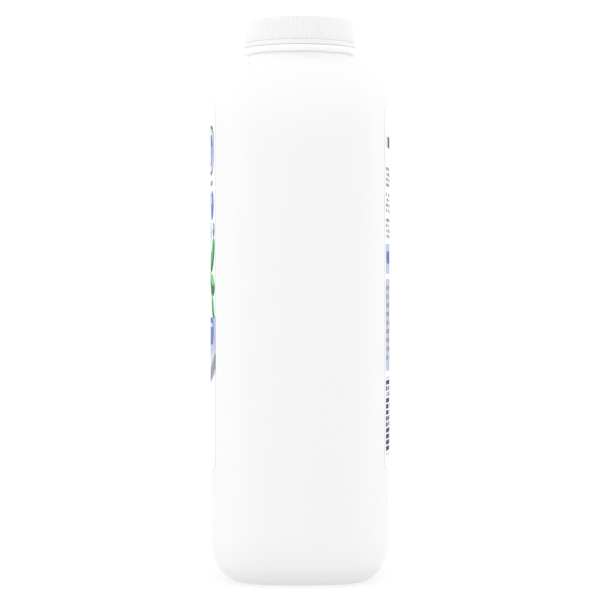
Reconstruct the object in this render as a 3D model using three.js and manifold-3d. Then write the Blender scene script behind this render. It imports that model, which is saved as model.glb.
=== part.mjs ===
// A white baby powder bottle: an oval-cornered body with a round shoulder, a round closure
// collar, a ribbed sifter cap, and a film label on the front and on the back.
// Millimetres, +Z up. The origin is the centre of the base, the width runs along X and
// the front label faces -Y.
import * as THREE from "three";
import { mergeVertices } from "three/addons/utils/BufferGeometryUtils.js";
import Module from "manifold-3d";

// Body section: four shallow faces joined by round corners
const BODY_WIDTH = 98;
const BODY_DEPTH = 72.6;
const FRONT_FACE_RADIUS = 150;
const SIDE_FACE_RADIUS = 70;
const CORNER_RADIUS = 22.5;
const FACE_STEPS = 4;
const SIDE_STEPS = 3;
const CORNER_STEPS = 8;

// Heights, from the standing surface up
const SHOULDER_TOP = 209.3;
const NECK_TOP = 213.05;
const COLLAR_TOP = 215.8;
const LIP_TOP = 218;
const HEIGHT = 228;

// Base: a rounded foot, wider below the narrow faces, a flat standing ring and a shallow recess
const FOOT_INSET_SIDE = 15;
const FOOT_INSET_FRONT = 10.3;
const FOOT_RISE_SIDE = 21;
const FOOT_RISE_FRONT = 15.5;
const FOOT_STEPS = 7;
const STANDING_RING_WIDTH = 4.6;
const RECESS_EDGE = 1.6;
const RECESS_DEPTH = 2.4;
const RECESS_CROWN = 0.6;

// Shoulder and neck; the shoulder reaches further down over the narrow faces
const SHOULDER_DROP_SIDE = 36;
const SHOULDER_DROP_FRONT = 20.4;
const SHOULDER_STEPS = 10;
const NECK_RADIUS = 21.2;
const NECK_FILLET = 1.3;
const NECK_FILLET_STEPS = 3;

// Closure collar under the cap
const COLLAR_RADIUS = 23.5;
const COLLAR_TOP_ROUND = 0.7;
const COLLAR_BOTTOM_ROUND = 1.5;
const SEAT_RADIUS = 22.4;
const SEAT_RISE = 0.3;

// Cap: a flared lip, a ribbed skirt that tapers, and a dished top with sifter holes
const LIP_RADIUS = 22.95;
const LIP_ROUND = 0.3;
const LIP_TOP_RADIUS = 22.7;
const SKIRT_BOTTOM_RADIUS = 22.3;
const SKIRT_TOP_RADIUS = 21.65;
const TOP_ROUND = 1;
const RIB_COUNT = 160;
const RIB_DEPTH = 0.3;
const RIB_RUN_OUT = 0.4;
const DISH_RADIUS = 18.6;
const DISH_SLOPE = 0.8;
const DISH_DEPTH = 0.8;
const HOLE_COUNT = 8;
const HOLE_RADIUS = 1.3;
const HOLE_CIRCLE = 10;
const HOLE_DEPTH = 1.2;

// Film labels on the front and back faces, which end short of the corners
const LABEL_WIDTH = 56;
const LABEL_BOTTOM = 45;
const LABEL_TOP = 190;
const LABEL_CORNER = 6;
const LABEL_GAP = 0.1;
const LABEL_THICKNESS = 0.22;
const LABEL_CORNER_STEPS = 3;

const ROUND_STEPS = 64;
const ARC_STEPS = 3;
const HOLE_STEPS = 16;
const QUARTER = Math.PI / 2;

const WHITE_BODY = new THREE.MeshStandardMaterial({ color: 0xf4f4f2, roughness: 0.4 });
const WHITE_CLOSURE = new THREE.MeshStandardMaterial({ color: 0xf7f7f6, roughness: 0.3 });
const LABEL_FILM = new THREE.MeshStandardMaterial({ color: 0xdfe3ef, roughness: 0.25 });

const wasm = await Module();
wasm.setup();

// A closed three.js geometry as a solid that can be cut and joined.
function solidOf(geometry) {
  const bare = geometry.clone();
  bare.deleteAttribute("normal");
  bare.deleteAttribute("uv");
  const merged = mergeVertices(bare, 1e-4);
  return new wasm.Manifold(
    new wasm.Mesh({
      numProp: 3,
      vertProperties: merged.attributes.position.array,
      triVerts: new Uint32Array(merged.index.array),
    }),
  );
}

// A cut or joined solid as a named mesh.
function meshOf(name, solid, material) {
  const { vertProperties, triVerts } = solid.getMesh();
  const geometry = new THREE.BufferGeometry();
  geometry.setAttribute("position", new THREE.Float32BufferAttribute(vertProperties, 3));
  geometry.setIndex(Array.from(triVerts));
  geometry.computeVertexNormals();
  const mesh = new THREE.Mesh(geometry, material);
  mesh.name = name;
  return mesh;
}

// A closed skin over rings of equal count, from the lowest up, with a fan at each end.
function skin(rings, bottomCentre, topCentre) {
  const count = rings[0].length;
  const last = rings.length - 1;
  const points = [bottomCentre, ...rings.flat(), topCentre];
  const at = (ring, i) => 1 + ring * count + (i % count);
  const faces = [];
  for (let i = 0; i < count; i++) {
    faces.push(0, at(0, i + 1), at(0, i));
    for (let ring = 0; ring < last; ring++) {
      faces.push(at(ring, i), at(ring, i + 1), at(ring + 1, i + 1));
      faces.push(at(ring, i), at(ring + 1, i + 1), at(ring + 1, i));
    }
    faces.push(at(last, i), at(last, i + 1), points.length - 1);
  }
  const geometry = new THREE.BufferGeometry().setFromPoints(points);
  geometry.setIndex(faces);
  return geometry;
}

// The centres of the three arcs that make a quarter of the section.
const frontCentre = new THREE.Vector2(0, BODY_DEPTH / 2 - FRONT_FACE_RADIUS);
const sideCentre = new THREE.Vector2(BODY_WIDTH / 2 - SIDE_FACE_RADIUS, 0);
const cornerCentre = cornerBetween(frontCentre, sideCentre);
const sideAngle = cornerCentre.clone().sub(sideCentre).angle();
const frontAngle = cornerCentre.clone().sub(frontCentre).angle();

// The corner arc touches both faces from inside, so its centre is a known way from both.
function cornerBetween(front, side) {
  const fromFront = FRONT_FACE_RADIUS - CORNER_RADIUS;
  const fromSide = SIDE_FACE_RADIUS - CORNER_RADIUS;
  const across = side.clone().sub(front);
  const apart = across.length();
  const along = (apart ** 2 + fromFront ** 2 - fromSide ** 2) / (2 * apart);
  const aside = Math.sqrt(fromFront ** 2 - along ** 2);
  const unit = across.divideScalar(apart);
  const outward = new THREE.Vector2(unit.y, -unit.x);
  return front.clone().addScaledVector(unit, along).addScaledVector(outward, aside);
}

// The directions that the section's wall faces, once round from +X.
function wallDirections() {
  const quarter = [];
  const spread = (from, to, steps) => {
    for (let i = 0; i < steps; i++) quarter.push(from + ((to - from) * i) / steps);
  };
  spread(0, sideAngle, SIDE_STEPS);
  spread(sideAngle, frontAngle, CORNER_STEPS);
  spread(frontAngle, QUARTER, FACE_STEPS);
  const mirrored = quarter.map((angle) => 2 * QUARTER - angle).reverse();
  const half = [...quarter, QUARTER, ...mirrored.slice(0, -1)];
  return [...half, ...half.map((angle) => angle + 2 * QUARTER)];
}

// The point of the section's wall that faces a direction, moved in by an inset.
function wallPoint(direction, inset) {
  const x = Math.abs(Math.cos(direction));
  const y = Math.abs(Math.sin(direction));
  const quarterAngle = Math.atan2(y, x);
  let centre = cornerCentre;
  let radius = CORNER_RADIUS;
  if (quarterAngle < sideAngle) [centre, radius] = [sideCentre, SIDE_FACE_RADIUS];
  if (quarterAngle > frontAngle) [centre, radius] = [frontCentre, FRONT_FACE_RADIUS];
  const px = centre.x + (radius - inset) * x;
  const py = centre.y + (radius - inset) * y;
  return new THREE.Vector2(px * Math.sign(Math.cos(direction)), py * Math.sign(Math.sin(direction)));
}

const directions = wallDirections();

// A value between the front faces' own and the narrow faces' own, for a point of the wall.
function between(frontValue, sideValue, wall) {
  const share = (wall.x / (BODY_WIDTH / 2)) ** 4;
  return frontValue + (sideValue - frontValue) * share;
}

// The section at its full size, or moved out or in all round.
function wallRing(inset, z) {
  return directions.map((direction) => {
    const point = wallPoint(direction, inset);
    return new THREE.Vector3(point.x, point.y, z);
  });
}

// The section drawn in below the wall: by a share of the foot's inset, and further by a margin.
function footRing(share, lift, margin = 0) {
  const scaleX = 1 - (FOOT_INSET_SIDE * share + margin) / (BODY_WIDTH / 2);
  const scaleY = 1 - (FOOT_INSET_FRONT * share + margin) / (BODY_DEPTH / 2);
  return directions.map((direction) => {
    const wall = wallPoint(direction, 0);
    const z = between(FOOT_RISE_FRONT, FOOT_RISE_SIDE, wall) * lift;
    return new THREE.Vector3(wall.x * scaleX, wall.y * scaleY, z);
  });
}

// Foot, standing ring and recess, from the recess outwards and up to the straight wall.
function footRings() {
  const raised = (ring, z) => ring.map((point) => point.setZ(z));
  const inner = STANDING_RING_WIDTH;
  const rings = [
    raised(footRing(1, 0, inner + RECESS_EDGE), RECESS_DEPTH),
    raised(footRing(1, 0, inner + RECESS_EDGE / 3), RECESS_DEPTH / 3),
    footRing(1, 0, inner),
  ];
  for (let i = 0; i <= FOOT_STEPS; i++) {
    const turn = (QUARTER * i) / FOOT_STEPS;
    rings.push(footRing(1 - Math.sin(turn), 1 - Math.cos(turn)));
  }
  return rings;
}

// The shoulder closes from the section to the neck's circle along quarter ellipses.
function shoulderRings() {
  const neckEdge = NECK_RADIUS + NECK_FILLET;
  const rings = [];
  for (let i = 0; i <= SHOULDER_STEPS; i++) {
    const turn = (QUARTER * i) / SHOULDER_STEPS;
    const ring = directions.map((direction) => {
      const wall = wallPoint(direction, 0);
      const drop = between(SHOULDER_DROP_FRONT, SHOULDER_DROP_SIDE, wall);
      const point = wall.clone().setLength(neckEdge).lerp(wall, Math.cos(turn));
      return new THREE.Vector3(point.x, point.y, SHOULDER_TOP - drop * (1 - Math.sin(turn)));
    });
    rings.push(ring);
  }
  return rings;
}

// A small hollow fillet, then the neck's straight side.
function neckRings() {
  const circle = (radius, z) =>
    directions.map((direction) => {
      const point = wallPoint(direction, 0).setLength(radius);
      return new THREE.Vector3(point.x, point.y, z);
    });
  const rings = [];
  for (let i = 1; i <= NECK_FILLET_STEPS; i++) {
    const turn = (QUARTER * i) / NECK_FILLET_STEPS;
    const radius = NECK_RADIUS + NECK_FILLET * (1 - Math.sin(turn));
    rings.push(circle(radius, SHOULDER_TOP + NECK_FILLET * (1 - Math.cos(turn))));
  }
  rings.push(circle(NECK_RADIUS, NECK_TOP));
  return rings;
}

function body() {
  const rings = [...footRings(), ...shoulderRings(), ...neckRings()];
  const recessCentre = new THREE.Vector3(0, 0, RECESS_DEPTH + RECESS_CROWN);
  const geometry = skin(rings, recessCentre, new THREE.Vector3(0, 0, NECK_TOP));
  return meshOf("body", solidOf(geometry), WHITE_BODY);
}

// A round solid about Z from a profile of radius and height that starts on the axis.
function turned(profile) {
  const geometry = new THREE.LatheGeometry(profile, ROUND_STEPS);
  geometry.rotateX(QUARTER);
  return solidOf(geometry);
}

// Points of an arc in the profile's plane, both ends included.
function arc(centreRadius, centreHeight, radius, from, to) {
  const path = new THREE.Path().absarc(centreRadius, centreHeight, radius, from, to, to < from);
  return path.getPoints(ARC_STEPS);
}

function collar() {
  const rimTop = COLLAR_TOP - SEAT_RISE;
  const lower = COLLAR_BOTTOM_ROUND;
  const upper = COLLAR_TOP_ROUND;
  const profile = [
    new THREE.Vector2(0, NECK_TOP),
    ...arc(COLLAR_RADIUS - lower, NECK_TOP + lower, lower, -QUARTER, 0),
    ...arc(COLLAR_RADIUS - upper, rimTop - upper, upper, 0, QUARTER),
    new THREE.Vector2(SEAT_RADIUS, rimTop),
    new THREE.Vector2(SEAT_RADIUS, COLLAR_TOP),
    new THREE.Vector2(0, COLLAR_TOP),
  ];
  return meshOf("collar", turned(profile), WHITE_CLOSURE);
}

function lip() {
  const inside = SKIRT_TOP_RADIUS - 1;
  const profile = [
    new THREE.Vector2(0, COLLAR_TOP),
    ...arc(LIP_RADIUS - LIP_ROUND, COLLAR_TOP + LIP_ROUND, LIP_ROUND, -QUARTER, 0),
    new THREE.Vector2(LIP_TOP_RADIUS, LIP_TOP),
    new THREE.Vector2(inside, LIP_TOP + 1),
    new THREE.Vector2(0, LIP_TOP + 1),
  ];
  return turned(profile);
}

function ribRing(radius, depth, z) {
  return Array.from({ length: 2 * RIB_COUNT }, (_, i) => {
    const angle = (Math.PI * i) / RIB_COUNT;
    const reach = i % 2 ? radius - depth : radius;
    return new THREE.Vector3(reach * Math.cos(angle), reach * Math.sin(angle), z);
  });
}

// The skirt starts inside the lip, and its ribs run out below the rounded top edge.
function skirt() {
  const start = LIP_TOP - 1;
  const roundStart = HEIGHT - TOP_ROUND;
  const rings = [
    ribRing(SKIRT_BOTTOM_RADIUS, RIB_DEPTH, start),
    ribRing(SKIRT_TOP_RADIUS, RIB_DEPTH, roundStart),
    ribRing(SKIRT_TOP_RADIUS - TOP_ROUND / 6, 0, roundStart + RIB_RUN_OUT),
    ribRing(SKIRT_TOP_RADIUS - TOP_ROUND, 0, HEIGHT),
  ];
  return solidOf(skin(rings, new THREE.Vector3(0, 0, start), new THREE.Vector3(0, 0, HEIGHT)));
}

// The dished top and its blind sifter holes, as one cutting solid.
function topCut() {
  const floor = HEIGHT - DISH_DEPTH;
  const profile = [
    new THREE.Vector2(0, floor),
    new THREE.Vector2(DISH_RADIUS - DISH_SLOPE, floor),
    new THREE.Vector2(DISH_RADIUS, HEIGHT),
    new THREE.Vector2(DISH_RADIUS, HEIGHT + 1),
    new THREE.Vector2(0, HEIGHT + 1),
  ];
  let cut = turned(profile);
  for (let i = 0; i < HOLE_COUNT; i++) {
    const angle = (4 * QUARTER * i) / HOLE_COUNT;
    const length = HOLE_DEPTH + DISH_DEPTH;
    const hole = new THREE.CylinderGeometry(HOLE_RADIUS, HOLE_RADIUS, length, HOLE_STEPS);
    hole.rotateX(QUARTER);
    hole.translate(HOLE_CIRCLE * Math.cos(angle), HOLE_CIRCLE * Math.sin(angle), HEIGHT - length / 2);
    cut = cut.add(solidOf(hole));
  }
  return cut;
}

function cap() {
  return meshOf("cap", skirt().add(lip()).subtract(topCut()), WHITE_CLOSURE);
}

// The label's outline across X and up Z, run through the front half of the bottle.
function labelPrism() {
  const right = LABEL_WIDTH / 2;
  const round = LABEL_CORNER;
  const outline = new THREE.Shape();
  outline.absarc(right - round, LABEL_BOTTOM + round, round, -QUARTER, 0);
  outline.absarc(right - round, LABEL_TOP - round, round, 0, QUARTER);
  outline.absarc(round - right, LABEL_TOP - round, round, QUARTER, 2 * QUARTER);
  outline.absarc(round - right, LABEL_BOTTOM + round, round, 2 * QUARTER, 3 * QUARTER);
  outline.closePath();
  const settings = { depth: BODY_DEPTH, bevelEnabled: false, curveSegments: LABEL_CORNER_STEPS };
  return new THREE.ExtrudeGeometry(outline, settings).rotateX(QUARTER);
}

// A thin film that follows the wall, cut to the label's outline.
function label(name, turn) {
  const wall = (offset, spare) => {
    const bottom = LABEL_BOTTOM - spare;
    const top = LABEL_TOP + spare;
    const rings = [wallRing(-offset, bottom), wallRing(-offset, top)];
    return solidOf(skin(rings, new THREE.Vector3(0, 0, bottom), new THREE.Vector3(0, 0, top)));
  };
  const outside = wall(LABEL_GAP + LABEL_THICKNESS, 1);
  const inside = wall(LABEL_GAP, 2);
  const film = outside.intersect(solidOf(labelPrism().rotateZ(turn))).subtract(inside);
  return meshOf(name, film, LABEL_FILM);
}

const bottle = new THREE.Group();
bottle.name = "powder_bottle";
bottle.add(body(), collar(), cap());
bottle.add(label("label_front", 0), label("label_back", 2 * QUARTER));

export default bottle;
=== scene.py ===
"""Looks for a white baby powder bottle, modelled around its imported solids.

The bottle stands on its flat base with +Z up and its front label facing -Y. Lengths are in metres.
Run as a script, it models the body, the closure and the two labels and sets them in a pale studio.
"""

import math

import bmesh
import bpy
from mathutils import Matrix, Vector


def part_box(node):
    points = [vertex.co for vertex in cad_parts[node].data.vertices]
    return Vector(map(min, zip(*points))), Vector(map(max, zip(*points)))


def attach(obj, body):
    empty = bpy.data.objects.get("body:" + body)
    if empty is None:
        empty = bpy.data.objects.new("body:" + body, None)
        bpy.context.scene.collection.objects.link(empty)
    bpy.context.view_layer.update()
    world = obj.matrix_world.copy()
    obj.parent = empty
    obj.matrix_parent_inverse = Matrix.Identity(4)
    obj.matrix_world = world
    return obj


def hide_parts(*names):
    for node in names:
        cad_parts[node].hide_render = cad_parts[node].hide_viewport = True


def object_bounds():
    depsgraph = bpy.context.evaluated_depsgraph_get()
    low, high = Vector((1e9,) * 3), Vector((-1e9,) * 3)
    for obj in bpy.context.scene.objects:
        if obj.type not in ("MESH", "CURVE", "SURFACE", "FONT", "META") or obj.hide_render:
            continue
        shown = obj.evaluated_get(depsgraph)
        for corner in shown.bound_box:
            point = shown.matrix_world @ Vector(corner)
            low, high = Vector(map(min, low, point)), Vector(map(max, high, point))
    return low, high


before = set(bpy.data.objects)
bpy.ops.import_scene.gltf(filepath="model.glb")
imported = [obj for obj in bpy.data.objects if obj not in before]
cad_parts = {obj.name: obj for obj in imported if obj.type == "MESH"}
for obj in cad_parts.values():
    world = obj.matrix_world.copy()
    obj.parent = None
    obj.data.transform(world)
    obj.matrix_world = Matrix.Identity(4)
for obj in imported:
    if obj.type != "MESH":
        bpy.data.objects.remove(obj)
CAD_LOW, CAD_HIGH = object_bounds()
BODY_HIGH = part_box("body")[1]
COLLAR_LOW, COLLAR_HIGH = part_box("collar")
CAP_LOW, CAP_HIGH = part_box("cap")
LABEL_LOW, LABEL_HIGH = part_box("label_front")

bl_info = {
    "name": "Powder Bottle",
    "version": (1, 0, 0),
    "blender": (4, 5, 0),
    "location": "3D View > Sidebar > Powder Bottle",
    "description": "Models a white powder bottle with a ribbed sifter cap and two film labels",
    "category": "Add Mesh",
}

MM = 0.001
QUARTER_TURN = math.pi / 2
FULL_TURN = 2 * math.pi
MERGE_DISTANCE = 0.001 * MM
SMOOTH_ANGLE = 35


def length(label, description, value):
    """A length that a user can change."""
    return bpy.props.FloatProperty(
        name=label, description=description, default=value, min=0, unit="LENGTH", precision=5
    )


def share(label, description, value):
    """A number from 0 to 1 that a user can change."""
    return bpy.props.FloatProperty(
        name=label, description=description, default=value, min=0, max=1, subtype="FACTOR"
    )


def colour(label, description, value):
    """A colour that a user can change."""
    return bpy.props.FloatVectorProperty(
        name=label, description=description, default=value, min=0, max=1, size=3, subtype="COLOR"
    )


def amount(label, description, value):
    """A count or a strength that a user can change."""
    return bpy.props.FloatProperty(name=label, description=description, default=value, min=0)


class BodySizes(bpy.types.PropertyGroup):
    """Section, foot, shoulder and neck of the moulded body."""

    front_radius: length("Front radius", "Bulge of the front and back faces", 150 * MM)
    side_radius: length("Side radius", "Bulge of the narrow faces", 70 * MM)
    corner_radius: length("Corner radius", "Round between a wide and a narrow face", 22.5 * MM)
    foot_inset_side: length("Foot inset, side", "Draw of the foot under a narrow face", 15 * MM)
    foot_inset_front: length("Foot inset, front", "Draw of the foot under a wide face", 10.3 * MM)
    foot_rise_side: length("Foot rise, side", "Height of the foot's round, narrow face", 21 * MM)
    foot_rise_front: length("Foot rise, front", "Height of the foot's round, wide face", 15.5 * MM)
    # Painted shade: up to this height the foot is coloured greyer, standing in for the shade on its
    # down-facing round.
    heel_painted_shade_height: length("Heel height", "Part of the foot that is a little duller", 8 * MM)
    ring_width: length("Ring width", "Flat ring that the bottle stands on", 4.6 * MM)
    recess_edge: length("Recess edge", "Width of the round edge of the base recess", 1.6 * MM)
    recess_depth: length("Recess depth", "Depth of the base recess at its edge", 2.4 * MM)
    recess_crown: length("Recess crown", "Extra depth of the recess at its middle", 0.6 * MM)
    shoulder_top: length("Shoulder top", "Height where the neck begins", 209.3 * MM)
    shoulder_drop_side: length("Shoulder drop, side", "Its height over a narrow face", 36 * MM)
    shoulder_drop_front: length("Shoulder drop, front", "Its height over a wide face", 20.4 * MM)
    neck_fillet: length("Neck fillet", "Hollow round at the foot of the neck", 1.3 * MM)
    neck_radius: length("Neck radius", "Radius of the neck below the collar", 21.2 * MM)


class ClosureSizes(bpy.types.PropertyGroup):
    """Collar and cap."""

    collar_top_round: length("Collar top round", "Round of the collar's upper edge", 0.45 * MM)
    collar_bottom_round: length("Collar lower round", "Round of the collar's lower edge", 2.05 * MM)
    seat_radius: length("Seat radius", "Step of the collar that carries the cap", 22.4 * MM)
    seat_rise: length("Seat rise", "Gap that shows between collar and cap", 0.2 * MM)
    lip_round: length("Lip round", "Round of the cap's lowest edge", 0.3 * MM)
    lip_height: length("Lip height", "Plain band under the ribs", 1.8 * MM)
    lip_top_radius: length("Lip top radius", "Radius of the lip where the ribs begin", 22.7 * MM)
    skirt_bottom_radius: length("Skirt bottom radius", "Rib crests at the lip", 22.3 * MM)
    skirt_top_radius: length("Skirt top radius", "Rib crests at the top edge", 21.65 * MM)
    top_round: length("Top round", "Round of the cap's upper edge", 1 * MM)
    rib_depth: length("Rib depth", "Depth of the grooves between ribs", 0.3 * MM)
    rib_start: length("Rib start", "Height of the narrow groove between lip and ribs", 0.4 * MM)
    dish_radius: length("Dish radius", "Outer radius of the dished top", 18.6 * MM)
    dish_slope: length("Dish slope", "Width of the dish's sloping edge", 0.8 * MM)
    dish_depth: length("Dish depth", "Depth of the dished top", 0.8 * MM)
    hole_radius: length("Hole radius", "Radius of a sifter hole", 1.3 * MM)
    hole_circle: length("Hole circle", "Radius of the ring of sifter holes", 10 * MM)
    hole_depth: length("Hole depth", "Depth of a closed sifter hole", 1.2 * MM)


class LabelSizes(bpy.types.PropertyGroup):
    """The two film labels."""

    corner: length("Label corner", "Round of the label's corners", 6 * MM)
    gap: length("Label gap", "Air left between wall and film", 0.02 * MM)
    thickness: length("Film thickness", "Thickness of the film", 0.26 * MM)


class Finishes(bpy.types.PropertyGroup):
    """Colours and roughness of the plastics and of the film."""

    body_white: colour("Body white", "Moulded body", (0.835, 0.835, 0.835))
    # Painted shade: a greyer colour on the lowest part of the foot, standing in for the shade on its
    # down-facing round.
    heel_painted_shade_white: colour("Heel white", "Scuffed heel of the foot", (0.79, 0.79, 0.79))
    # Painted light: the neck is coloured whiter than the body to lift the shade under the collar.
    neck_painted_light_white: colour("Neck white", "Thick plastic of the neck", (0.915, 0.915, 0.915))
    cap_white: colour("Cap white", "Ribbed part of the moulded cap", (0.86, 0.86, 0.86))
    # Painted shade: the lip is coloured greyer than the ribs to dim the extra light on its
    # upward-leaning face.
    lip_painted_shade_white: colour("Lip white", "Thin plain lip of the cap", (0.805, 0.805, 0.805))
    collar_white: colour("Collar white", "Moulded collar", (0.91, 0.91, 0.91))
    film_white: colour("Film white", "Unprinted label film", (0.9, 0.905, 0.915))
    body_roughness: share("Body roughness", "Surface of the moulded body", 0.5)
    closure_roughness: share("Closure roughness", "Surface of collar and cap", 0.34)
    film_roughness: share("Film roughness", "Surface of the labels", 0.5)


class Inks(bpy.types.PropertyGroup):
    """Inks of the two labels."""

    sky: colour("Sky", "Middle blue", (0.11, 0.22, 0.50))
    pale_sky: colour("Pale sky", "Light blue", (0.30, 0.46, 0.72))
    periwinkle: colour("Periwinkle", "Violet blue", (0.12, 0.16, 0.42))
    navy: colour("Navy", "Small dashes on the back", (0.003, 0.022, 0.11))
    leaf: colour("Leaf", "Middle green", (0.012, 0.19, 0.045))
    pale_leaf: colour("Pale leaf", "Light green", (0.16, 0.60, 0.22))
    lavender: colour("Lavender", "Panels and wave", (0.50, 0.53, 0.72))
    pale_lavender: colour("Pale lavender", "Light panels and wave", (0.62, 0.65, 0.80))
    stone: colour("Stone", "Grey dashes", (0.28, 0.30, 0.35))
    slate: colour("Slate", "Dark grey", (0.07, 0.085, 0.13))


INK_NAMES = tuple(Inks.__annotations__)


class StudioSettings(bpy.types.PropertyGroup):
    """Camera, floor and lights."""

    camera_distance: length("Camera distance", "From the bottle's axis", 985 * MM)
    camera_height: length("Camera height", "Above the floor, with a level view", 113 * MM)
    lens: amount("Lens", "Focal length in millimetres on a 36 mm sensor", 144)
    world_level: amount("World level", "Mean strength of the light from all round", 1.06)
    world_fall: amount("World fall", "Loss of that strength towards the dim side", 0.08)
    dim_side: bpy.props.FloatVectorProperty(
        name="Dim side",
        description="Where the light from all round is weakest",
        default=(-0.7, -0.4, -0.6),
        subtype="DIRECTION",
    )
    top_power: amount("Top power", "Watts of the light overhead", 0.56)
    left_power: amount("Left power", "Watts of the wide light left of the camera", 0.54)
    right_power: amount("Right power", "Watts of the narrow light right of the camera", 0.36)
    floor_white: colour("Floor white", "The pale floor", (0.34, 0.34, 0.34))
    floor_glow: amount("Floor glow", "Light from under the floor, as a light table gives", 0.63)


def start_piece(name, radius, height, count):
    """A flat round face about the Z axis, left in edit mode with its rim selected."""
    bpy.ops.object.select_all(action="DESELECT")
    bpy.ops.mesh.primitive_circle_add(vertices=count, radius=radius, fill_type="NGON")
    piece = bpy.context.object
    piece.name = piece.data.name = name
    bpy.ops.object.mode_set(mode="EDIT")
    bpy.ops.mesh.select_all(action="SELECT")
    bpy.ops.transform.translate(value=(0, 0, height))
    pick(piece, "EDGE", lambda edge: edge.is_boundary)
    return piece


def pick(piece, kind, test):
    """In edit mode, selects the parts of one kind that pass a test, and nothing else."""
    bpy.ops.mesh.select_mode(type=kind)
    bpy.ops.mesh.select_all(action="DESELECT")
    mesh = bmesh.from_edit_mesh(piece.data)
    parts = {"VERT": mesh.verts, "EDGE": mesh.edges, "FACE": mesh.faces}[kind]
    for part in parts:
        if test(part):
            part.select_set(True)
    mesh.select_flush(True)
    bmesh.update_edit_mesh(piece.data)


def pull_ring(profile):
    """Extrudes the selected ring through a profile of (radius, height) that starts at its place."""
    for (radius, height), (next_radius, next_height) in zip(profile, profile[1:]):
        move = {"value": (0, 0, next_height - height)}
        bpy.ops.mesh.extrude_edges_move(TRANSFORM_OT_translate=move)
        scale = next_radius / radius
        centre = (0, 0, next_height)
        bpy.ops.transform.resize(value=(scale, scale, 1), center_override=centre)


def finish_edit(piece):
    """Merges doubles, turns the faces outwards, and leaves edit mode smooth-shaded."""
    bpy.ops.mesh.select_all(action="SELECT")
    bpy.ops.mesh.remove_doubles(threshold=MERGE_DISTANCE)
    bpy.ops.mesh.normals_make_consistent(inside=False)
    bpy.ops.object.mode_set(mode="OBJECT")
    shade(piece)


def shade(piece):
    """Smooth shading that keeps the edges that turn more than the smooth angle."""
    bpy.ops.object.select_all(action="DESELECT")
    piece.select_set(True)
    bpy.context.view_layer.objects.active = piece
    bpy.ops.object.shade_smooth_by_angle(angle=math.radians(SMOOTH_ANGLE))


def apply_modifier(piece, kind, **settings):
    """Adds a modifier with these settings to a piece and applies it."""
    bpy.context.view_layer.objects.active = piece
    modifier = piece.modifiers.new(kind.title(), kind)
    for key, value in settings.items():
        setattr(modifier, key, value)
    bpy.ops.object.modifier_apply(modifier=modifier.name)


def arc(centre_radius, centre_height, radius, start, end, steps):
    """Points of a profile's arc, from one angle to another in degrees, both included."""
    points = []
    for i in range(steps + 1):
        turn = math.radians(start + (end - start) * i / steps)
        across = centre_radius + radius * math.cos(turn)
        points.append((across, centre_height + radius * math.sin(turn)))
    return points


def hand_over(piece, material, slot, *nodes):
    """Dresses a finished piece, puts it on the bottle and lets it stand for its solids."""
    piece.data.materials.clear()
    piece.data.materials.append(material)
    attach(piece, "root")
    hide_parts(*nodes)


SIDE_STEPS, CORNER_STEPS, FRONT_STEPS = 8, 30, 12
FOOT_STEPS = 18
SHOULDER_STEPS = 26
FILLET_STEPS = 8
RECESS_STEPS = 6


def section_arcs(sizes):
    """Centre, turn and steps of the three arcs that make a quarter of the section, from +X to +Y."""
    front = Vector((0, BODY_HIGH.y - sizes.front_radius))
    side = Vector((BODY_HIGH.x - sizes.side_radius, 0))
    from_front = sizes.front_radius - sizes.corner_radius
    from_side = sizes.side_radius - sizes.corner_radius
    apart = (side - front).length
    along = (apart**2 + from_front**2 - from_side**2) / (2 * apart)
    aside = math.sqrt(from_front**2 - along**2)
    unit = (side - front) / apart
    corner = front + unit * along + Vector((unit.y, -unit.x)) * aside
    side_turn = math.atan2(*reversed(corner - side))
    front_turn = math.atan2(*reversed(corner - front))
    return (
        (side, side_turn, SIDE_STEPS),
        (corner, front_turn - side_turn, CORNER_STEPS),
        (front, QUARTER_TURN - front_turn, FRONT_STEPS),
    )


def draw_section(name, sizes, height):
    """The body's outline at a height, filled with one face that looks down."""
    bpy.ops.object.select_all(action="DESELECT")
    bpy.ops.mesh.primitive_plane_add(size=MM)
    piece = bpy.context.object
    piece.name = piece.data.name = name
    bpy.ops.object.mode_set(mode="EDIT")
    bpy.ops.mesh.select_all(action="SELECT")
    bpy.ops.mesh.merge(type="CENTER")
    bpy.ops.transform.translate(value=(BODY_HIGH.x, 0, height))
    for centre, turn, steps in section_arcs(sizes):
        middle = (centre.x, centre.y, height)
        bpy.ops.mesh.spin(steps=steps, angle=turn, center=middle, axis=(0, 0, -1))
    for mirror in ((-1, 1, 1), (1, -1, 1)):
        bpy.ops.mesh.select_all(action="SELECT")
        bpy.ops.mesh.duplicate()
        bpy.ops.transform.resize(value=mirror, center_override=(0, 0, height))
    bpy.ops.mesh.select_all(action="SELECT")
    bpy.ops.mesh.remove_doubles(threshold=MERGE_DISTANCE)
    bpy.ops.mesh.edge_face_add()
    mesh = bmesh.from_edit_mesh(piece.data)
    mesh.faces.ensure_lookup_table()
    mesh.faces[0].normal_update()
    if mesh.faces[0].normal.z > 0:
        bpy.ops.mesh.flip_normals()
    return piece


def mark_narrow_sides(piece):
    """Notes each vertex's share of a narrow face; what is extruded from it takes the share over."""
    mesh = bmesh.from_edit_mesh(piece.data)
    share_layer = mesh.verts.layers.float.new("narrow_side")
    for vertex in mesh.verts:
        vertex[share_layer] = (vertex.co.x / BODY_HIGH.x) ** 4
    bmesh.update_edit_mesh(piece.data)


def foot_reach(sizes, turn):
    """Width and depth, as shares of the wall's, and height of the foot's ring at a turn."""
    drawn = 1 - math.sin(turn)
    wide = 1 - sizes.foot_inset_side * drawn / BODY_HIGH.x
    deep = 1 - sizes.foot_inset_front * drawn / BODY_HIGH.y
    return Vector((wide, deep, sizes.foot_rise_front * (1 - math.cos(turn))))


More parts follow.
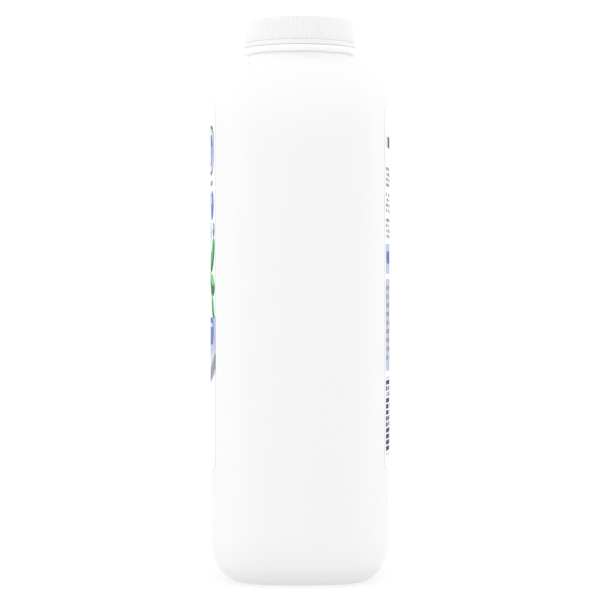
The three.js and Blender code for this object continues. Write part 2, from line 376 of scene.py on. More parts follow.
def raise_foot(sizes):
    """Draws the contact ring up and out to the wall along quarter ellipses."""
    at = foot_reach(sizes, 0)
    for i in range(1, FOOT_STEPS + 1):
        next_at = foot_reach(sizes, QUARTER_TURN * i / FOOT_STEPS)
        move = {"value": (0, 0, next_at.z - at.z)}
        bpy.ops.mesh.extrude_edges_move(TRANSFORM_OT_translate=move)
        scale = (next_at.x / at.x, next_at.y / at.y, 1)
        bpy.ops.transform.resize(value=scale, center_override=(0, 0, next_at.z))
        at = next_at


def raise_wall(height):
    """Draws the ring straight up, with a ring near each end that keeps the shading even."""
    margin = 1.5 * MM
    for rise in (margin, height - 2 * margin, margin):
        bpy.ops.mesh.extrude_edges_move(TRANSFORM_OT_translate={"value": (0, 0, rise)})


def selected_mean_radius(piece):
    """Mean distance of the selected vertices from the Z axis."""
    mesh = bmesh.from_edit_mesh(piece.data)
    spread = [vertex.co.xy.length for vertex in mesh.verts if vertex.select]
    return sum(spread) / len(spread)


def raise_shoulder(piece, sizes):
    """Draws the wall's ring up quarter ellipses that end in the neck's circle.

    With c the cosine of the way round the ellipse, each point lies at c of the way from the neck's
    circle to the wall. A ring goes to the next by a resize and a step towards a circle.
    """
    edge = sizes.neck_radius + sizes.neck_fillet
    rise = sizes.shoulder_drop_front
    start = sizes.shoulder_top - rise
    for i in range(SHOULDER_STEPS):
        turn, next_turn = (QUARTER_TURN * (i + j) / SHOULDER_STEPS for j in (0, 1))
        lift = rise * (math.sin(next_turn) - math.sin(turn))
        bpy.ops.mesh.extrude_edges_move(TRANSFORM_OT_translate={"value": (0, 0, lift)})
        kept = 0 if i == SHOULDER_STEPS - 1 else math.cos(next_turn) / math.cos(turn)
        scale = kept + (1 - kept) * edge / selected_mean_radius(piece)
        centre = (0, 0, start + rise * math.sin(next_turn))
        bpy.ops.transform.resize(value=(scale, scale, 1), center_override=centre)
        bpy.ops.transform.tosphere(value=1 - kept / scale, center_override=centre)


def lean_rings(piece, sizes):
    """Lets the foot's rings rise and the shoulder's rings drop further on the narrow sides."""
    foot_lean = sizes.foot_rise_side / sizes.foot_rise_front - 1
    shoulder_lean = sizes.shoulder_drop_side / sizes.shoulder_drop_front - 1
    top = sizes.shoulder_top
    mesh = bmesh.from_edit_mesh(piece.data)
    share_layer = mesh.verts.layers.float["narrow_side"]
    for vertex in mesh.verts:
        side_share = vertex[share_layer]
        if vertex.co.z < top / 2:
            vertex.co.z *= 1 + side_share * foot_lean
        elif vertex.co.z < top:
            vertex.co.z = top - (top - vertex.co.z) * (1 + side_share * shoulder_lean)
    mesh.verts.layers.float.remove(share_layer)
    bmesh.update_edit_mesh(piece.data)


def press_recess(piece, sizes):
    """Insets the underside, the one low face of many corners, over its ring and into the recess."""
    pick(piece, "FACE", lambda face: len(face.verts) > 4 and face.calc_center_median().z < MM)
    bpy.ops.mesh.inset(thickness=sizes.ring_width, depth=0)
    for i in range(RECESS_STEPS):
        turn, next_turn = (QUARTER_TURN * (i + j) / RECESS_STEPS for j in (0, 1))
        inward = sizes.recess_edge * (math.sin(next_turn) - math.sin(turn))
        upward = sizes.recess_depth * (math.cos(turn) - math.cos(next_turn))
        bpy.ops.mesh.inset(thickness=inward, depth=-upward)
    bpy.ops.mesh.poke(offset=-sizes.recess_crown)


class POWDER_OT_body(bpy.types.Operator):
    """Models the blow-moulded body: foot, wall, shoulder and neck."""

    bl_idname = "powder.body"
    bl_label = "Bottle body"

    def execute(self, context):
        sizes = context.scene.powder_body
        piece = draw_section("bottle_body", sizes, 0)
        mark_narrow_sides(piece)
        contact = foot_reach(sizes, 0)
        bpy.ops.mesh.select_all(action="SELECT")
        bpy.ops.transform.resize(value=(contact.x, contact.y, 1), center_override=(0, 0, 0))
        pick(piece, "EDGE", lambda edge: edge.is_boundary)
        raise_foot(sizes)
        raise_wall(sizes.shoulder_top - sizes.shoulder_drop_front - sizes.foot_rise_front)
        raise_shoulder(piece, sizes)
        hollow = sizes.neck_fillet
        across, up = sizes.neck_radius + hollow, sizes.shoulder_top + hollow
        fillet = arc(across, up, hollow, 270, 180, FILLET_STEPS)
        pull_ring([*fillet, (sizes.neck_radius, BODY_HIGH.z)])
        bpy.ops.mesh.edge_face_add()
        lean_rings(piece, sizes)
        press_recess(piece, sizes)
        finish_edit(piece)
        plastic = body_plastic(context.scene.powder_finishes, sizes)
        hand_over(piece, plastic, "body_plastic", "body")
        return {"FINISHED"}


COLLAR_COLUMNS = 192


class POWDER_OT_collar(bpy.types.Operator):
    """Models the round collar between the neck and the cap."""

    bl_idname = "powder.collar"
    bl_label = "Collar"

    def execute(self, context):
        sizes = context.scene.powder_closure
        radius = COLLAR_HIGH.x
        lower, upper = sizes.collar_bottom_round, sizes.collar_top_round
        rim = COLLAR_HIGH.z - sizes.seat_rise
        profile = [
            *arc(radius - lower, COLLAR_LOW.z + lower, lower, -90, 0, steps=8),
            *arc(radius - upper, rim - upper, upper, 0, 90, steps=6),
            (sizes.seat_radius, rim),
            (sizes.seat_radius, COLLAR_HIGH.z),
        ]
        piece = start_piece("bottle_collar", *profile[0], COLLAR_COLUMNS)
        pull_ring(profile)
        bpy.ops.mesh.edge_face_add()
        finish_edit(piece)
        finishes = context.scene.powder_finishes
        plastic = closure_plastic("collar_polypropylene", finishes.collar_white, finishes)
        hand_over(piece, plastic, "closure_plastic", "collar")
        return {"FINISHED"}


RIB_COUNT = 160
RIB_COLUMNS = 6
# Columns between two rib crests, with the share of the groove's depth that each is pressed in by
RIB_SECTION = (((1, 5), 0.1), ((2, 4), 0.62), ((3,), 1.0))


def rib_column(vertex):
    """Which column a vertex of the skirt stands in, counted from the crest of its rib."""
    column = FULL_TURN / (RIB_COUNT * RIB_COLUMNS)
    return round(math.atan2(vertex.co.y, vertex.co.x) / column) % RIB_COLUMNS


def press_ribs(piece, sizes, low, high):
    """Presses the grooves between ribs into the skirt's columns of vertices."""
    for columns, depth in RIB_SECTION:
        pick(piece, "VERT", lambda vert: low < vert.co.z < high and rib_column(vert) in columns)
        scale = 1 - depth * sizes.rib_depth / sizes.skirt_bottom_radius
        bpy.ops.transform.resize(value=(scale, scale, 1), center_override=(0, 0, 0))


def cap_profile(sizes):
    """The cap's outside from the edge of its flat underside to the floor of its dish.

    The eased edges are offsets in millimetres from the corner that each one rounds.
    """
    lip_edge = ((0.05, -0.35), (-0.03, -0.08), (-0.12, 0))
    rib_edge = ((-0.1, 0), (0, 0.12))
    lip_top = CAP_LOW.z + sizes.lip_height
    rib_start = lip_top + sizes.rib_start
    top = CAP_HIGH.z
    round_start = top - sizes.top_round
    groove = sizes.skirt_bottom_radius - sizes.rib_depth - 0.05 * MM
    tilt = 0.02 * MM
    soft = 0.2 * MM
    low = CAP_LOW.z + sizes.lip_round
    floor = top - sizes.dish_depth
    slope_foot = sizes.dish_radius - sizes.dish_slope
    return [
        *arc(CAP_HIGH.x - sizes.lip_round, low, sizes.lip_round, -90, 0, steps=5),
        *eased(sizes.lip_top_radius, lip_top, lip_edge),
        (groove, lip_top + tilt),
        (groove, rib_start - tilt),
        *eased(sizes.skirt_bottom_radius, rib_start, rib_edge),
        (sizes.skirt_top_radius, round_start - 0.25 * MM),
        *arc(sizes.skirt_top_radius - sizes.top_round, round_start, sizes.top_round, 4, 90, steps=8),
        *arc(sizes.dish_radius + soft, top - soft, soft, 90, 135, steps=3),
        *arc(slope_foot - soft, floor + soft, soft, -45, -90, steps=3),
    ]


def eased(radius, height, offsets):
    """Points of a profile round one corner, from their offsets in millimetres."""
    return [(radius + across * MM, height + up * MM) for across, up in offsets]


HOLE_COUNT = 8
HOLE_COLUMNS = 40


def sifter_hole(sizes, turn):
    """The cutting piece of one sifter hole: narrower at its floor, with an eased upper edge."""
    ease = 0.13 * MM
    floor_share = 0.9
    floor = CAP_HIGH.z - sizes.dish_depth
    low = floor - sizes.hole_depth
    levels = (
        (low + sizes.hole_radius * (1 - floor_share), 1 / floor_share),
        (floor - ease, 1),
        (floor, 1 + ease / sizes.hole_radius),
        (CAP_HIGH.z + sizes.hole_depth, 1),
    )
    x, y = sizes.hole_circle * math.cos(turn), sizes.hole_circle * math.sin(turn)
    radius = sizes.hole_radius * floor_share
    bpy.ops.mesh.primitive_circle_add(
        vertices=HOLE_COLUMNS, radius=radius, fill_type="NGON", location=(x, y, low)
    )
    bpy.ops.object.mode_set(mode="EDIT")
    bpy.ops.mesh.select_all(action="SELECT")
    at = low
    for level, scale in levels:
        move = {"value": (0, 0, level - at)}
        bpy.ops.mesh.extrude_region_move(TRANSFORM_OT_translate=move)
        bpy.ops.transform.resize(value=(scale, scale, 1), center_override=(x, y, level))
        at = level
    bpy.ops.mesh.select_all(action="SELECT")
    bpy.ops.mesh.normals_make_consistent(inside=False)
    bpy.ops.object.mode_set(mode="OBJECT")
    return bpy.context.object


def sifter_holes(sizes):
    """One cutting piece of all the sifter holes."""
    holes = [sifter_hole(sizes, FULL_TURN * i / HOLE_COUNT) for i in range(HOLE_COUNT)]
    bpy.ops.object.select_all(action="DESELECT")
    for hole in holes:
        hole.select_set(True)
    bpy.context.view_layer.objects.active = holes[0]
    bpy.ops.object.join()
    bpy.ops.object.transform_apply(location=True)
    return holes[0]


class POWDER_OT_cap(bpy.types.Operator):
    """Models the ribbed cap with its flared lip, dished top and sifter holes."""

    bl_idname = "powder.cap"
    bl_label = "Cap"

    def execute(self, context):
        sizes = context.scene.powder_closure
        profile = cap_profile(sizes)
        piece = start_piece("bottle_cap", *profile[0], RIB_COUNT * RIB_COLUMNS)
        pull_ring(profile)
        bpy.ops.mesh.edge_face_add()
        lip_top = CAP_LOW.z + sizes.lip_height
        below = 0.01 * MM
        press_ribs(piece, sizes, lip_top + sizes.rib_start - below, CAP_HIGH.z - sizes.top_round)
        finish_edit(piece)
        cutter = sifter_holes(sizes)
        apply_modifier(piece, "BOOLEAN", operation="DIFFERENCE", object=cutter, solver="EXACT")
        bpy.data.objects.remove(cutter)
        shade(piece)
        finishes = context.scene.powder_finishes
        plastic = closure_plastic("cap_polypropylene", finishes.cap_white, finishes, lip_top)
        hand_over(piece, plastic, "closure_plastic", "cap")
        return {"FINISHED"}


LABEL_STRIPS = 56


def film_sheet(name, sizes, side):
    """A flat label outline with round corners in front of the wall, cut into narrow upright strips."""
    width = LABEL_HIGH.x - LABEL_LOW.x
    height = LABEL_HIGH.z - LABEL_LOW.z
    bpy.ops.object.select_all(action="DESELECT")
    bpy.ops.mesh.primitive_plane_add(size=1)
    piece = bpy.context.object
    piece.name = piece.data.name = name
    piece.scale = (width, height, 1)
    piece.rotation_euler = (QUARTER_TURN, 0, 0 if side < 0 else math.pi)
    piece.location = (0, side * 2 * BODY_HIGH.y, (LABEL_LOW.z + LABEL_HIGH.z) / 2)
    bpy.ops.object.transform_apply(location=True, rotation=True, scale=True)
    bpy.ops.object.mode_set(mode="EDIT")
    bpy.ops.mesh.select_all(action="SELECT")
    bpy.ops.mesh.bevel(offset=sizes.corner, segments=10, affect="VERTICES")
    for i in range(1, LABEL_STRIPS):
        bpy.ops.mesh.select_all(action="SELECT")
        x = LABEL_LOW.x + width * i / LABEL_STRIPS
        bpy.ops.mesh.bisect(plane_co=(x, 0, 0), plane_no=(1, 0, 0))
    bpy.ops.object.mode_set(mode="OBJECT")
    return piece


class POWDER_OT_labels(bpy.types.Operator):
    """Models the front and back labels as thin films on the body's wall."""

    bl_idname = "powder.labels"
    bl_label = "Labels"

    def execute(self, context):
        sizes = context.scene.powder_labels
        finishes = context.scene.powder_finishes
        inks = context.scene.powder_inks
        prints = (("front", -1, front_print), ("back", 1, back_print))
        for face, side, design in prints:
            piece = film_sheet("film_" + face, sizes, side)
            apply_modifier(
                piece,
                "SHRINKWRAP",
                wrap_method="PROJECT",
                use_project_y=True,
                use_negative_direction=True,
                use_positive_direction=True,
                target=bpy.data.objects["bottle_body"],
                offset=sizes.gap,
            )
            apply_modifier(piece, "SOLIDIFY", thickness=sizes.thickness, offset=1)
            shade(piece)
            hand_over(piece, design(finishes, inks), "label_film", "label_" + face)
        return {"FINISHED"}


class NodeBoard:
    """Lays out a material's nodes and links them."""

    def __init__(self, name):
        self.material = bpy.data.materials.new(name)
        self.material.use_nodes = True
        self.tree = self.material.node_tree
        self.shader = self.tree.nodes["Principled BSDF"]
        coordinates = self.tree.nodes.new("ShaderNodeTexCoord")
        self.place = coordinates.outputs["Object"]

    def feed(self, socket, value):
        """Links an output to a socket, or sets the socket to a plain value."""
        if isinstance(value, bpy.types.NodeSocket):
            self.tree.links.new(value, socket)
        elif value is not None:
            socket.default_value = value

    def node(self, kind, values=(), **settings):
        """A node with its inputs fed in order."""
        node = self.tree.nodes.new(kind)
        for key, value in settings.items():
            setattr(node, key, value)
        for socket, value in zip(node.inputs, values):
            self.feed(socket, value)
        return node

    def math(self, operation, *values):
        """The result of a Math node."""
        return self.node("ShaderNodeMath", values, operation=operation).outputs[0]

    def vector(self, operation, *values):
        """The vector result of a Vector Math node."""
        return self.node("ShaderNodeVectorMath", values, operation=operation).outputs["Vector"]

    def split(self, vector):
        """The X and the Z of a vector."""
        node = self.node("ShaderNodeSeparateXYZ", (vector,))
        return node.outputs["X"], node.outputs["Z"]

    def noise(self, scale, detail=2, roughness=0.5):
        """A noise value over the piece; scale is features in a metre."""
        node = self.tree.nodes.new("ShaderNodeTexNoise")
        self.feed(node.inputs["Vector"], self.place)
        node.inputs["Scale"].default_value = scale
        node.inputs["Detail"].default_value = detail
        node.inputs["Roughness"].default_value = roughness
        return node.outputs["Fac"]

    def between(self, value, low, high):
        """A value from 0 to 1 spread between two others."""
        node = self.tree.nodes.new("ShaderNodeMapRange")
        self.feed(node.inputs["Value"], value)
        node.inputs["To Min"].default_value = low
        node.inputs["To Max"].default_value = high
        return node.outputs["Result"]

    def ramp(self, value, start, end):
        """0 where a value is at its start or below, 1 where it is at its end or above."""
        node = self.tree.nodes.new("ShaderNodeMapRange")
        node.interpolation_type = "SMOOTHSTEP"
        self.feed(node.inputs["Value"], value)
        node.inputs["From Min"].default_value = start
        node.inputs["From Max"].default_value = end
        return node.outputs["Result"]

    def mix(self, factor, under, over):
        """One colour laid over another."""
        node = self.node("ShaderNodeMix", data_type="RGBA")
        sockets = {socket.identifier: socket for socket in node.inputs}
        self.feed(sockets["Factor_Float"], factor)
        self.feed(sockets["A_Color"], opaque(under))
        self.feed(sockets["B_Color"], opaque(over))
        return next(end for end in node.outputs if end.identifier == "Result_Color")

    def clouded(self, colour, scale):
        """A colour with faint, slightly darker clouds."""
        cloud_shade = 0.985
        darker = tuple(part * cloud_shade for part in colour)
        return self.mix(self.noise(scale, detail=3), darker, tuple(colour))

    def mottled(self, middle, spread, scale):
        """A roughness that wanders by a spread about its middle."""
        return self.between(self.noise(scale, detail=3), middle - spread, middle + spread)

    def bump(self, height, distance, under=None):
        """Relief of a real height in metres, over any other relief."""
        node = self.tree.nodes.new("ShaderNodeBump")
        node.inputs["Distance"].default_value = distance
        self.feed(node.inputs["Height"], height)
        self.feed(node.inputs["Normal"], under)
        return node.outputs["Normal"]


def opaque(value):
    """A plain colour with its alpha, or a socket as it is."""
    if isinstance(value, bpy.types.NodeSocket):
        return value
    return (*value, 1)


def body_plastic(finishes, sizes):
    """Satin white polyethylene with faint waves from blow moulding and a fine grain.

    It has painted shade at the heel, a greyer colour low on the foot, and painted light at the neck, a
    whiter colour under the collar.
    """
    board = NodeBoard("white_polyethylene")
    shader = board.shader.inputs
    wall = board.clouded(finishes.body_white, scale=14)
    height = board.split(board.place)[1]
    # Painted shade: below the heel height the body takes the greyer heel colour.
    above_heel_painted_shade = board.ramp(height, sizes.heel_painted_shade_height - 3 * MM, sizes.heel_painted_shade_height)
    # Painted light: from just below the shoulder's top upwards the body takes the whiter neck colour.
    in_neck_painted_light = board.ramp(height, sizes.shoulder_top - 2 * MM, sizes.shoulder_top + 1 * MM)
    tone = board.mix(above_heel_painted_shade, tuple(finishes.heel_painted_shade_white), wall)
    board.feed(shader["Base Color"], board.mix(in_neck_painted_light, tone, tuple(finishes.neck_painted_light_white)))
    board.feed(shader["Roughness"], board.mottled(finishes.body_roughness, 0.04, scale=220))
    waves = board.bump(board.noise(28, detail=1), distance=0.12 * MM)
    grain = board.bump(board.noise(1500, roughness=0.6), distance=0.006 * MM, under=waves)
    board.feed(shader["Normal"], grain)
    shader["Subsurface Weight"].default_value = 0.5
    shader["Subsurface Radius"].default_value = (1.0, 0.97, 0.94)
    shader["Subsurface Scale"].default_value = 2 * MM
    shader["IOR"].default_value = 1.5
    shader["Specular IOR Level"].default_value = 0.3
    return board.material


def closure_plastic(name, white, finishes, lip_top=None):
    """Smooth half-gloss white polypropylene with a faint moulding haze, and painted shade, a greyer
    colour, up to a lip's top.
    """
    board = NodeBoard(name)
    shader = board.shader.inputs
    tone = board.clouded(white, scale=40)
    if lip_top is not None:
        # Painted shade: below the lip's top the cap takes the greyer lip colour.
        above_painted_lip_shade = board.ramp(board.split(board.place)[1], lip_top, lip_top + 0.2 * MM)
        tone = board.mix(above_painted_lip_shade, tuple(finishes.lip_painted_shade_white), tone)
    board.feed(shader["Base Color"], tone)
    board.feed(shader["Roughness"], board.mottled(finishes.closure_roughness, 0.05, scale=500))
    board.feed(shader["Normal"], board.bump(board.noise(900), distance=0.004 * MM))
    shader["Subsurface Weight"].default_value = 0.4
    shader["Subsurface Radius"].default_value = (1.0, 0.97, 0.95)
    shader["Subsurface Scale"].default_value = 1.5 * MM
    shader["IOR"].default_value = 1.49
    shader["Specular IOR Level"].default_value = 0.3
    return board.material


class PrintBoard(NodeBoard):
    """A printed film: flat shapes laid one over another on the unprinted film."""

    def __init__(self, name, finishes, turned):
        super().__init__(name)
        self.paper = tuple(finishes.film_white)
        self.ink = self.paper
        self.turned = turned
        self.middle = (LABEL_LOW.z + LABEL_HIGH.z) / 2
        film = self.shader.inputs
        self.feed(film["Roughness"], self.mottled(finishes.film_roughness, 0.03, scale=300))
        self.feed(film["Normal"], self.bump(self.noise(60), distance=0.02 * MM))
        film["IOR"].default_value = 1.5
        film["Specular IOR Level"].default_value = 0.04

    def local(self, x, z, width=1.0, height=1.0, turn=0.0):
        """Coordinates centred on a shape and divided by its size.

        Lengths are in millimetres, x and z from the label's middle, x to the reader's right, and a
        turn is in degrees.
        """
        flip = -1 if self.turned else 1
        node = self.tree.nodes.new("ShaderNodeMapping")
        node.vector_type = "TEXTURE"
        self.feed(node.inputs["Vector"], self.place)
        node.inputs["Location"].default_value = (flip * x * MM, 0, self.middle + z * MM)
        node.inputs["Rotation"].default_value = (0, -flip * math.radians(turn), 0)
        node.inputs["Scale"].default_value = (flip * width * MM, 1000, height * MM)
        return node.outputs["Vector"]

    def ellipse(self, x, z, width, height, turn=0.0):
        """1 inside an ellipse, else 0."""
        place = self.local(x, z, width / 2, height / 2, turn)
        node = self.node("ShaderNodeVectorMath", (place,), operation="LENGTH")
        return self.math("LESS_THAN", node.outputs["Value"], 1.0)

    def bar(self, x, z, width, height, corner=None):
        """1 inside a rectangle with round corners, else 0. Without a corner it has round ends."""
        round_by = min(width, height) / 2 if corner is None else corner
        place = self.vector("ABSOLUTE", self.local(x, z))
        core = (width / 2 - round_by, 0, height / 2 - round_by)
        out = self.vector("MAXIMUM", self.vector("SUBTRACT", place, core), (0, 0, 0))
        node = self.node("ShaderNodeVectorMath", (out,), operation="LENGTH")
        return self.math("LESS_THAN", node.outputs["Value"], round_by)

    def both(self, first, second):
        """Where two masks overlap."""
        return self.math("MULTIPLY", first, second)

    def without(self, first, second):
        """A mask with another cut out of it."""
        return self.math("MULTIPLY", first, self.math("SUBTRACT", 1.0, second))

    def lay(self, mask, ink):
        """Prints a colour where the mask is 1."""
        self.ink = self.mix(mask, self.ink, ink)

    def lines(self, x, z, width, height, pitch, weight, words, seed):
        """A block of dashes set out like lines of words, ragged at the right.

        A row is a pitch high and its dashes fill a share of it, the weight. Words is the rough length
        of a dash.
        """
        row_apart = 7.31
        gap_share = 0.38
        shortest = 0.72
        across, down = self.split(self.local(x - width / 2, z + height / 2, 1, -pitch))
        row = self.math("FLOOR", down)
        stripe = self.math("LESS_THAN", self.math("FRACT", down), weight)
        noise = self.tree.nodes.new("ShaderNodeTexNoise")
        noise.noise_dimensions = "2D"
        step = self.node("ShaderNodeCombineXYZ")
        self.feed(step.inputs["X"], self.math("MULTIPLY", across, 1 / words))
        self.feed(step.inputs["Y"], self.math("MULTIPLY_ADD", row, row_apart, seed))
        self.feed(noise.inputs["Vector"], step.outputs["Vector"])
        noise.inputs["Scale"].default_value = 1
        noise.inputs["Detail"].default_value = 0
        word = self.math("GREATER_THAN", noise.outputs["Fac"], gap_share)
        rag = self.node("ShaderNodeTexWhiteNoise", noise_dimensions="1D")
        self.feed(rag.inputs["W"], self.math("ADD", row, seed + 0.5))
        end = self.between(rag.outputs["Value"], shortest * width, width)
        inside = self.math("LESS_THAN", across, end)
        box = self.bar(x, z, width, height, corner=0.01)
        return self.both(self.both(stripe, word), self.both(inside, box))

    def done(self):
        """The finished material."""
        self.feed(self.shader.inputs["Base Color"], opaque(self.ink))
        return self.material


def front_print(finishes, inks):
    """Generic front: a bare badge, drifting bubbles, a sprig, and a lavender wave with a blue pill."""
    board = PrintBoard("front_film_print", finishes, turned=False)
    ink = {name: tuple(getattr(inks, name)) for name in INK_NAMES}
    print_badge(board, ink)
    print_bubbles(board, ink)
    print_sprig(board, ink)
    print_wave(board, ink)
    return board.done()


def print_badge(board, ink):
    """A bare rounded badge where a name would stand, and a short line under it."""
    board.lay(board.bar(0, 56, 50, 20, corner=9), ink["slate"])
    board.lay(board.bar(0, 56, 47.2, 17.2, corner=7.6), ink["pale_lavender"])
    board.lay(board.bar(0, 56, 42, 12.4, corner=5.6), ink["sky"])
    board.lay(board.bar(0, 54.2, 37, 7, corner=3.4), ink["pale_sky"])
    board.lay(board.bar(0, 42.6, 42, 2), ink["stone"])


def print_bubbles(board, ink):
    """Bubbles of many sizes, each with a small white glint."""
    bubbles = (
        (18.5, 33.5, 12, "sky"),
        (8, 36.5, 6, "periwinkle"),
        (24, 23.5, 6, "periwinkle"),
        (-21, 34, 7.4, "periwinkle"),
        (-12, 30, 11, "sky"),
        (-23.5, 20, 5.6, "sky"),
        (0.5, 28, 6.4, "pale_sky"),
        (12, 23, 8.4, "pale_sky"),
        (-3, 18.5, 4.6, "periwinkle"),
    )
    for x, z, size, name in bubbles:
        board.lay(board.ellipse(x, z, size, size), ink[name])
        glint = board.ellipse(x - size * 0.16, z + size * 0.18, size * 0.34, size * 0.22, 40)
        board.lay(glint, board.paper)


def print_sprig(board, ink):
    """A bent stem with pairs of oval leaves, each with a pale half."""
    stem = board.without(board.ellipse(-6, 33, 74, 62), board.ellipse(-6, 34.2, 74, 62))
    board.lay(board.both(stem, board.bar(2, 6, 46, 14, corner=1)), ink["leaf"])
    leaves = (
        (-18.5, 11.5, 14, 6.6, 148),
        (-14.5, 0.5, 13, 6.2, 215),
        (-3.5, 9.5, 15.5, 7, 118),
        (1.5, -3, 13, 6.2, 250),
        (10.5, 8, 16.5, 7.6, 62),
        (20.5, 13.5, 17, 9.4, 46),
        (19, 1.5, 17.5, 8.8, -10),
        (22, -7.5, 12.5, 6.6, -48),
    )
    for x, z, reach, breadth, turn in leaves:
        leaf = board.ellipse(x, z, reach, breadth, turn)
        board.lay(leaf, ink["leaf"])
        across = math.radians(turn + 90)
        shift = breadth * 0.5
        half = board.ellipse(
            x + shift * math.cos(across), z + shift * math.sin(across), reach, breadth, turn
        )
        board.lay(board.both(leaf, half), ink["pale_leaf"])


def print_wave(board, ink):
    """Two overlapping waves of lavender across the label, a blue pill, and a grey sweep below."""
    upper = board.without(board.ellipse(8, -8, 96, 48), board.ellipse(2, 16, 104, 62))
    board.lay(upper, ink["lavender"])
    lower = board.without(board.ellipse(-4, -16, 104, 46), board.ellipse(6, 6, 112, 66))
    board.lay(lower, ink["pale_lavender"])
    board.lay(board.bar(8, -17, 34, 11), ink["periwinkle"])
    board.lay(board.bar(8, -17, 31.6, 8.6), ink["sky"])
    board.lay(board.bar(8, -14.6, 26, 1.6), ink["pale_lavender"])
    sweep = board.without(board.ellipse(0, -6, 92, 66), board.ellipse(-4, -1, 96, 66))
    board.lay(sweep, ink["stone"])
    board.lay(board.bar(-13, -58, 20, 2.2), ink["stone"])
    board.lay(board.bar(-16, -62.4, 14, 1.5), ink["stone"])


def back_print(finishes, inks):
    """Generic back: a heading, three blocks of dashes, a strip, a panel and rows of navy dashes."""
    board = PrintBoard("back_film_print", finishes, turned=True)
    ink = {name: tuple(getattr(inks, name)) for name in INK_NAMES}
    heading = board.lines(0, 58.5, 50, 5.6, pitch=5.6, weight=0.8, words=7, seed=3.1)
    board.lay(heading, ink["slate"])
    for i, z in enumerate((44.5, 34.2, 23.9)):
        block = board.lines(0, z, 51, 8.6, pitch=2.15, weight=0.6, words=3.2, seed=5.3 + i)
        board.lay(block, ink["stone"])
    board.lay(board.bar(0, 12, 52, 12, corner=1.6), ink["lavender"])
    board.lay(board.bar(0, 12.6, 48, 5), ink["periwinkle"])
    board.lay(board.bar(0, -14.5, 52, 37, corner=2.4), ink["lavender"])
    panel = board.lines(0, -14.5, 49, 31.5, pitch=3.5, weight=0.5, words=6, seed=11.7)
    board.lay(panel, ink["stone"])
    board.lay(board.bar(0, -51, 52, 31, corner=1.6), ink["pale_sky"])
    board.lay(board.bar(0, -51, 51.2, 30.2, corner=1.3), board.paper)
    rows = board.lines(0, -51, 51, 28.6, pitch=2.4, weight=0.74, words=4.6, seed=17.9)
    board.lay(rows, ink["navy"])
    return board.done()


def floor_plastic(settings):
    """A plain matt white light table."""
    board = NodeBoard("studio_floor")
    floor = board.shader.inputs
    board.feed(floor["Base Color"], opaque(tuple(settings.floor_white)))
    floor["Roughness"].default_value = 0.9
    floor["Specular IOR Level"].default_value = 0.1
    floor["Emission Color"].default_value = (1, 1, 1, 1)
    floor["Emission Strength"].default_value = settings.floor_glow
    return board.material


FLOOR_SIZE = 12
SENSOR_WIDTH = 36
# Name, place, width and height of each soft light in metres, and the setting that holds its power
LIGHTS = (
    ("top_light", (0.5, 0, 0.95), (0.7, 0.7), "top_power"),
    ("left_light", (0.08, -0.6, 0.2), (0.35, 0.7), "left_power"),
    ("right_light", (-0.16, 0.6, 0.2), (0.14, 0.7), "right_power"),
)


def add_area_light(name, place, size, power):
    """A soft light, size wide and high, that looks at the bottle's middle."""
    bpy.ops.object.light_add(type="AREA", location=place)
    light = bpy.context.object
    light.name = name
    light.data.shape = "RECTANGLE"
    light.data.size, light.data.size_y = size
    light.data.energy = power
    middle = (CAD_LOW + CAD_HIGH) / 2
    light.rotation_euler = (middle - Vector(place)).to_track_quat("-Z", "Y").to_euler()
    light.visible_camera = False


def graded_world(settings):
    """White light from all round that weakens evenly towards the dim side."""
    world = bpy.data.worlds.new("studio_world")
    world.use_nodes = True
    nodes, links = world.node_tree.nodes, world.node_tree.links
    coordinates = nodes.new("ShaderNodeTexCoord")
    towards = nodes.new("ShaderNodeVectorMath")
    towards.operation = "DOT_PRODUCT"
    towards.inputs[1].default_value = settings.dim_side
    strength = nodes.new("ShaderNodeMath")
    strength.operation = "MULTIPLY_ADD"
    strength.inputs[1].default_value = -settings.world_fall
    strength.inputs[2].default_value = settings.world_level
    background = nodes["Background"].inputs
    background["Color"].default_value = (1, 1, 1, 1)
    links.new(coordinates.outputs["Generated"], towards.inputs[0])
    links.new(towards.outputs["Value"], strength.inputs[0])
    links.new(strength.outputs[0], background["Strength"])
    return world


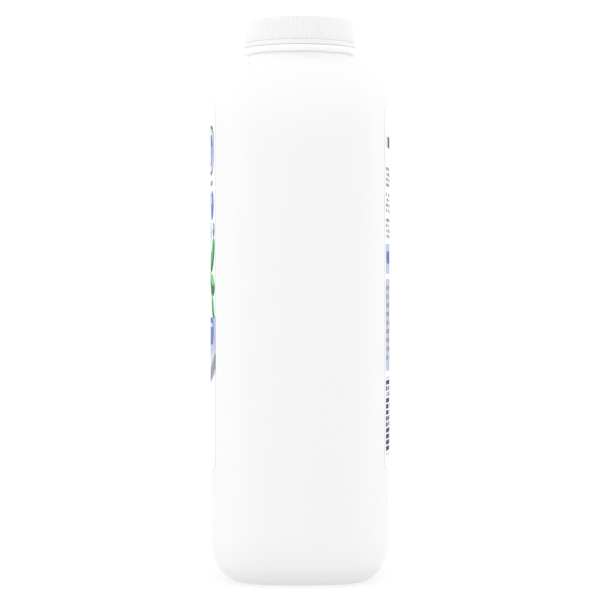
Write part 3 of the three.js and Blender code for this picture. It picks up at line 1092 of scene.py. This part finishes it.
class POWDER_OT_stage(bpy.types.Operator):
    """Sets up the pale floor, the soft lights and the camera."""

    bl_idname = "powder.stage"
    bl_label = "Studio"

    def execute(self, context):
        settings = context.scene.powder_studio
        bpy.ops.object.select_all(action="DESELECT")
        bpy.ops.mesh.primitive_plane_add(size=FLOOR_SIZE)
        floor = bpy.context.object
        floor.name = "studio_floor"
        floor.data.materials.append(floor_plastic(settings))
        for name, place, size, power in LIGHTS:
            add_area_light(name, place, size, getattr(settings, power))
        context.scene.world = graded_world(settings)
        context.scene.view_settings.view_transform = "Standard"
        place = (settings.camera_distance, 0, settings.camera_height)
        bpy.ops.object.camera_add(location=place, rotation=(QUARTER_TURN, 0, QUARTER_TURN))
        camera = bpy.context.object
        camera.name = "camera"
        camera.data.lens = settings.lens
        camera.data.sensor_width = SENSOR_WIDTH
        context.scene.camera = camera
        return {"FINISHED"}


PIECES = ("body", "collar", "cap", "labels", "stage")


class POWDER_PT_bottle(bpy.types.Panel):
    """Lists the pieces of the bottle."""

    bl_label = "Powder Bottle"
    bl_idname = "POWDER_PT_bottle"
    bl_space_type = "VIEW_3D"
    bl_region_type = "UI"
    bl_category = "Powder Bottle"

    def draw(self, context):
        for piece in PIECES:
            self.layout.operator("powder." + piece)


SETTINGS = {
    "powder_body": BodySizes,
    "powder_closure": ClosureSizes,
    "powder_labels": LabelSizes,
    "powder_finishes": Finishes,
    "powder_inks": Inks,
    "powder_studio": StudioSettings,
}
CLASSES = (
    POWDER_OT_body,
    POWDER_OT_collar,
    POWDER_OT_cap,
    POWDER_OT_labels,
    POWDER_OT_stage,
    POWDER_PT_bottle,
)


def register():
    """Registers the settings, the operators and the panel."""
    for name, group in SETTINGS.items():
        bpy.utils.register_class(group)
        setattr(bpy.types.Scene, name, bpy.props.PointerProperty(type=group))
    for listed in CLASSES:
        bpy.utils.register_class(listed)


def unregister():
    """Takes the settings, the operators and the panel away."""
    for listed in reversed(CLASSES):
        bpy.utils.unregister_class(listed)
    for name, group in reversed(SETTINGS.items()):
        delattr(bpy.types.Scene, name)
        bpy.utils.unregister_class(group)


def main():
    """Makes every piece in turn."""
    register()
    for piece in PIECES:
        getattr(bpy.ops.powder, piece)()


if __name__ == "__main__":
    main()
